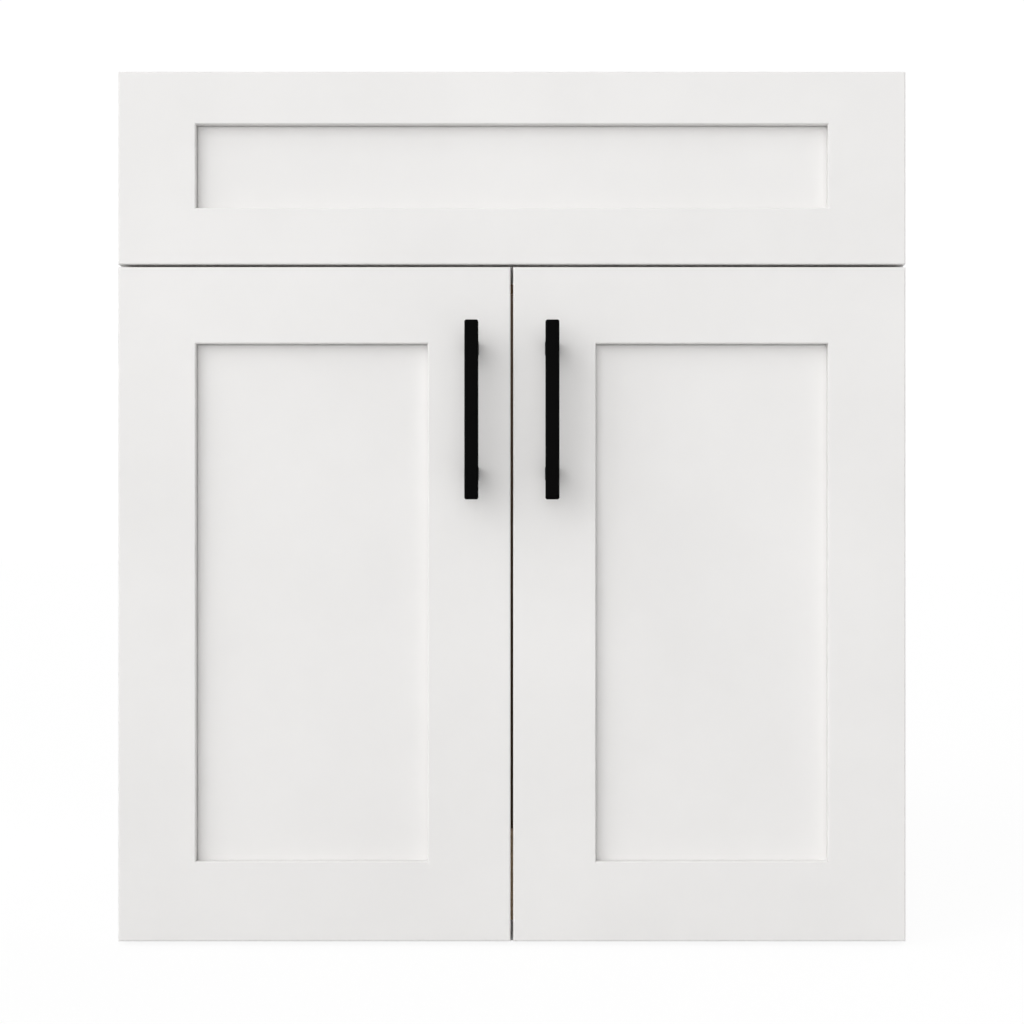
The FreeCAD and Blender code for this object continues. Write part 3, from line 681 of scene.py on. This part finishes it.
def screw_places(node):
    """Find each screw's seat and aim, and the sizes that the node's screws share."""
    seats, aims, sizes = [], [], {}
    for corners in solids_of(node):
        low, high = corners.min(0), corners.max(0)
        along = int(np.argmax(high - low))
        others = [axis for axis in range(3) if axis != along]
        middle = (low + high) / 2
        spread = np.hypot(*(corners[:, others] - middle[others]).T)
        head_radius = spread.max()
        rim_share = 0.98
        rim = corners[spread > head_radius * rim_share][:, along].mean()
        outward = 1.0 if rim > middle[along] else -1.0
        end = high[along] if outward > 0 else low[along]
        tail = low[along] if outward > 0 else high[along]
        seat = middle.copy()
        seat[along] = rim
        aim = np.zeros(3)
        aim[along] = outward
        seats.append(seat)
        aims.append(aim)
        near_tail = np.abs(corners[:, along] - tail) < 1e-5
        sizes = {"Head Radius": float(head_radius), "Head Height": float(abs(end - rim)),
                 "Shank Radius": float(spread[near_tail].max()),
                 "Shank Length": float(abs(rim - tail))}
    return seats, aims, sizes


def cross_recess():
    """Give the recess sizes that every driven fitting shares."""
    settings = bpy.context.scene.vanity_fasteners
    return {"Recess Span": settings.recess_span, "Recess Depth": settings.recess_depth,
            "Slot Width": settings.slot_width, "Seed": settings.seed}


# ---------------------------------------------------------------- operators

class VANITY_OT_fronts(bpy.types.Operator):
    """Make the painted frames and panels of the false front and the doors"""

    bl_idname = "vanity.fronts"
    bl_label = "Painted Fronts"

    def execute(self, context):
        ease = context.scene.vanity_edges.front
        paint = finish("satin_white_paint", white_paint)
        for front in ("false_front", "left_door", "right_door"):
            members = [node for node in frame["nodes"]
                       if node.startswith(front) and node.endswith(("_stile", "_rail"))]
            for node in members:
                beside = [other for other in members if other != node]
                eased_piece(node, ease, paint, 2, beside)
            panel = joined_copy(front + "_panel")
            shadow_line(panel, front, context.scene.vanity_edges)
            stand_for(finished(panel, front + "_panel_finished", paint), front + "_panel")
        return {"FINISHED"}


def opening_of(front):
    """Give the lowest and highest corners of a front's framed opening."""
    low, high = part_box(front + "_bottom_rail"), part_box(front + "_top_rail")
    stiles = [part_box(node) for node in frame["nodes"]
              if node.startswith(front) and node.endswith("_stile")]
    stiles.sort(key=lambda box: box[0].x)
    return Vector((stiles[0][1].x, 0.0, low[1].z)), Vector((stiles[1][0].x, 0.0, high[0].z))


def shadow_line(mesh, front, edges):
    """Sink a fine channel in a panel, along the top and left of its frame's opening."""
    low, high = opening_of(front)
    under, hidden = 1 * MM, 4 * MM
    cuts = ((0, low.x - under), (0, low.x + edges.quirk), (0, high.x + hidden),
            (2, low.z - hidden), (2, high.z - edges.quirk), (2, high.z + under))
    for axis, at in cuts:
        normal = Vector([float(axis == index) for index in range(3)])
        bmesh.ops.bisect_plane(mesh, geom=mesh.verts[:] + mesh.edges[:] + mesh.faces[:],
                               plane_co=normal * at, plane_no=normal, dist=1e-7)
    face_y = min(vertex.co.y for vertex in mesh.verts)
    left, top = low.x + edges.quirk, high.z - edges.quirk
    sunk = []
    for face in mesh.faces:
        middle = face.calc_center_median()
        within = (low.x - under < middle.x < high.x + hidden
                  and low.z - hidden < middle.z < high.z + under)
        if abs(middle.y - face_y) < MERGE and within and (middle.x < left or middle.z > top):
            sunk.append(face)
    pushed = bmesh.ops.extrude_face_region(mesh, geom=sunk)["geom"]
    bmesh.ops.delete(mesh, geom=sunk, context="FACES")
    moved = [item for item in pushed if isinstance(item, bmesh.types.BMVert)]
    bmesh.ops.translate(mesh, verts=moved, vec=(0.0, edges.quirk_depth, 0.0))
    bmesh.ops.recalc_face_normals(mesh, faces=mesh.faces)


class VANITY_OT_carcass(bpy.types.Operator):
    """Make the carcass boards with painted outsides and plywood insides and edges"""

    bl_idname = "vanity.carcass"
    bl_label = "Carcass Boards"

    def execute(self, context):
        ease = context.scene.vanity_edges.board
        front_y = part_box("bottom_panel")[0].y
        skin = 0.7 * MM

        def front_edge(graph, axes):
            return axes[1].below(front_y + skin)

        def outside(graph, axes):
            left = axes[0].below(cad_low.x + skin)
            right = axes[0].above(cad_high.x - skin)
            return left.either(right).either(front_edge(graph, axes))

        def bare(graph, axes):
            return axes[1].below(cad_low.y)

        for node in nodes_named("side_panel"):
            eased_piece(node, ease, finish(node + "_ply", plywood, node, outside))
        for node in ("bottom_panel", "top_front_rail", "mid_rail"):
            eased_piece(node, ease, finish(node + "_ply", plywood, node, front_edge))
        for node in ("upper_back_rail", "lower_back_rail", "corner_braces"):
            eased_piece(node, ease, finish(node + "_ply", plywood, node, bare))
        eased_piece("back_panel", ease, finish("tempered_hardboard", hardboard))
        return {"FINISHED"}


class VANITY_OT_handles(bpy.types.Operator):
    """Make the square bar handles and their posts"""

    bl_idname = "vanity.handles"
    bl_label = "Bar Handles"

    def execute(self, context):
        edges = context.scene.vanity_edges
        coat = finish("matte_black_coat", black_coat)
        for side in SIDES:
            bar = soft_block(*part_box(side + "_handle_bar"), edges.handle, edges.rings)
            stand_for(finished(bar, side + "_handle_bar_finished", coat), side + "_handle_bar")
            posts = bmesh.new()
            for corners in solids_of(side + "_handle_posts"):
                post = soft_block(Vector(corners.min(0)), Vector(corners.max(0)),
                                  edges.handle * 0.6, 3)
                data = bpy.data.meshes.new("post")
                post.to_mesh(data)
                post.free()
                posts.from_mesh(data)
                bpy.data.meshes.remove(data)
            stand_for(finished(posts, side + "_handle_posts_finished", coat),
                      side + "_handle_posts")
        return {"FINISHED"}


def soft_block(low, high, radius, segments):
    """Make a block between two corners with every edge rounded."""
    mesh = bmesh.new()
    bmesh.ops.create_cube(mesh, size=1.0)
    centre, extent = (low + high) / 2, high - low
    for vertex in mesh.verts:
        vertex.co = centre + Vector([vertex.co[axis] * extent[axis] for axis in range(3)])
    bmesh.ops.bevel(mesh, geom=mesh.edges[:], offset=radius, offset_type="OFFSET",
                    segments=segments, profile=0.5, affect="EDGES", clamp_overlap=True)
    return mesh


class VANITY_OT_hinges(bpy.types.Operator):
    """Make the hinge cups, arms, mounting plates and pins"""

    bl_idname = "vanity.hinges"
    bl_label = "Concealed Hinges"

    def execute(self, context):
        ease = context.scene.vanity_edges.metal
        metal = context.scene.vanity_metal
        nickel = finish("nickel_plate", plated, tuple(metal.nickel), 0.26)
        for node in nodes_named("hinge_cup", "hinge_arm", "hinge_plate", "hinge_pins"):
            eased_piece(node, ease, nickel)
        return {"FINISHED"}


class VANITY_OT_brackets(bpy.types.Operator):
    """Make the angle brackets that hold the false front"""

    bl_idname = "vanity.brackets"
    bl_label = "False Front Brackets"

    def execute(self, context):
        zinc = finish("zinc_plate", plated, tuple(context.scene.vanity_metal.zinc), 0.36)
        eased_piece("false_front_brackets", context.scene.vanity_edges.metal, zinc)
        return {"FINISHED"}


class VANITY_OT_screws(bpy.types.Operator):
    """Make every pan-head screw with its cross recess"""

    bl_idname = "vanity.screws"
    bl_label = "Screws"

    def execute(self, context):
        tree = driven_tree()
        steel = finish("screw_plate", plated, tuple(context.scene.vanity_metal.screw), 0.3)
        for node in nodes_named("_screws"):
            seats, aims, sizes = screw_places(node)
            made = grow(node + "_finished", tree, seats, aims,
                        {**sizes, **cross_recess(), "Finish": steel})
            stand_for(made, node)
        return {"FINISHED"}


class VANITY_OT_fittings(bpy.types.Operator):
    """Make the cam locks, their bolts and the dowels inside the joints"""

    bl_idname = "vanity.fittings"
    bl_label = "Joint Fittings"

    def execute(self, context):
        zinc = finish("zinc_plate", plated, tuple(context.scene.vanity_metal.zinc), 0.36)
        ease = context.scene.vanity_edges.metal
        eased_piece("cam_locks", ease, zinc)
        eased_piece("cam_bolts", ease, zinc)
        eased_piece("carcass_dowels", ease * 2, finish("dowel_beech", beech_wood))
        return {"FINISHED"}


class VANITY_OT_bumpers(bpy.types.Operator):
    """Make the soft bumpers on the doors' backs"""

    bl_idname = "vanity.bumpers"
    bl_label = "Door Bumpers"

    def execute(self, context):
        clear = finish("translucent_bumper", soft_bumper)
        dome, rings = 1.1 * MM, 5
        for node in nodes_named("door_bumpers"):
            eased_piece(node, dome, clear, rings)
        return {"FINISHED"}


class VANITY_OT_stage(bpy.types.Operator):
    """Make the floor, the surrounding light, the key light and the camera"""

    bl_idname = "vanity.stage"
    bl_label = "Stage"

    def execute(self, context):
        settings = context.scene.vanity_stage
        front_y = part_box("false_front_top_rail")[0].y
        middle = Vector((settings.aside, front_y, (cad_low.z + cad_high.z) / 2 - settings.drop))
        pale_floor()
        surround(settings)
        aimed_light("key", middle, Vector((-0.60, -0.74, 0.34)), 3.2, 1.0, settings.key)
        camera = bpy.data.cameras.new("front_view")
        camera.sensor_width = 36.0
        camera.lens = camera.sensor_width * settings.distance / settings.width
        camera.clip_end = 50.0
        viewer = bpy.data.objects.new("front_view", camera)
        viewer.location = middle - Vector((0.0, settings.distance, 0.0))
        viewer.rotation_euler = (math.pi / 2, 0.0, 0.0)
        context.scene.collection.objects.link(viewer)
        context.scene.camera = viewer
        context.scene.view_settings.view_transform = "Standard"
        return {"FINISHED"}


def pale_floor():
    """Make the broad pale floor that the cabinet stands on."""
    mesh = bmesh.new()
    reach, sides = 14.0, 96
    bmesh.ops.create_circle(mesh, cap_ends=True, radius=reach, segments=sides)
    data = bpy.data.meshes.new("floor")
    mesh.to_mesh(data)
    mesh.free()
    material, graph, shader = new_finish("pale_floor")
    drift = graph.noise(graph.point(), 0.8, 3.0)
    graph.feed(shader["Base Color"], graph.mix((0.60, 0.60, 0.60), (0.64, 0.64, 0.64), drift))
    shader["Roughness"].default_value = 0.9
    glow = graph.add("ShaderNodeEmission", inputs={"Color": (1.0, 1.0, 1.0, 1.0), "Strength": 1.05})
    seen, glow_share = graph.add("ShaderNodeLightPath"), 0.88
    surface = graph.tree.nodes["Principled BSDF"].outputs["BSDF"]
    blend = graph.add("ShaderNodeMixShader",
                      inputs=[seen * glow_share, Value(graph, surface), glow])
    graph.feed(graph.tree.nodes["Material Output"].inputs["Surface"], blend)
    data.materials.append(material)
    floor = bpy.data.objects.new("floor", data)
    bpy.context.scene.collection.objects.link(floor)


def surround(settings):
    """Light the scene softly, most of it from the upper left, before a plain white background."""
    world = bpy.data.worlds.new("studio")
    bpy.context.scene.world = world
    world.use_nodes = True
    graph = Graph(world.node_tree)
    background = world.node_tree.nodes["Background"]
    background.inputs["Color"].default_value = (1.0, 1.0, 1.0, 1.0)
    seen = graph.add("ShaderNodeLightPath")
    across, back, up = graph.axes(graph.add("ShaderNodeTexCoord"))
    corner = (up * 0.50 - across * 0.54 - back * 0.68).either(0.0)
    front = (0.0 - back).either(0.0)
    right = (across * 0.85 + back * 0.53).either(0.0)
    broad, narrow = 3.0, 16.0
    boxes = (corner.power(broad) * settings.slant + front.power(narrow) * settings.facing
             + right.power(broad) * settings.beside)
    light = boxes + back.either(0.0) * settings.behind + settings.fill
    white = 1.02
    graph.feed(background.inputs["Strength"], light + (white - light) * seen)


def aimed_light(name, target, direction, distance, size, power):
    """Make a square area light that looks at a target from a direction."""
    data = bpy.data.lights.new(name, "AREA")
    data.size = size
    data.energy = power
    light = bpy.data.objects.new(name, data)
    direction = direction.normalized()
    light.location = target + direction * distance
    light.rotation_euler = (-direction).to_track_quat("-Z", "Y").to_euler()
    bpy.context.scene.collection.objects.link(light)


class VANITY_PT_tools(bpy.types.Panel):
    """Lists what makes the vanity base and the settings that it reads"""

    bl_idname = "VANITY_PT_tools"
    bl_label = "Bathroom Vanity"
    bl_space_type = "VIEW_3D"
    bl_region_type = "UI"
    bl_category = "Vanity"

    def draw(self, context):
        for operator in OPERATORS:
            self.layout.operator(operator.bl_idname)
        for name, group in GROUPS.items():
            box = self.layout.box()
            for setting in group.__annotations__:
                box.prop(getattr(context.scene, name), setting)


OPERATORS = (
    VANITY_OT_fronts,
    VANITY_OT_carcass,
    VANITY_OT_handles,
    VANITY_OT_hinges,
    VANITY_OT_brackets,
    VANITY_OT_screws,
    VANITY_OT_fittings,
    VANITY_OT_bumpers,
    VANITY_OT_stage,
)


def register():
    """Register the settings, the operators and the panel."""
    for group in GROUPS.values():
        bpy.utils.register_class(group)
    for name, group in GROUPS.items():
        setattr(bpy.types.Scene, name, PointerProperty(type=group))
    for operator in OPERATORS:
        bpy.utils.register_class(operator)
    bpy.utils.register_class(VANITY_PT_tools)


def unregister():
    """Undo register()."""
    bpy.utils.unregister_class(VANITY_PT_tools)
    for operator in reversed(OPERATORS):
        bpy.utils.unregister_class(operator)
    for name, group in GROUPS.items():
        delattr(bpy.types.Scene, name)
        bpy.utils.unregister_class(group)


def main():
    """Make every piece and the stage."""
    register()
    for operator in OPERATORS:
        category, name = operator.bl_idname.split(".")
        getattr(getattr(bpy.ops, category), name)()


if __name__ == "__main__":
    main()
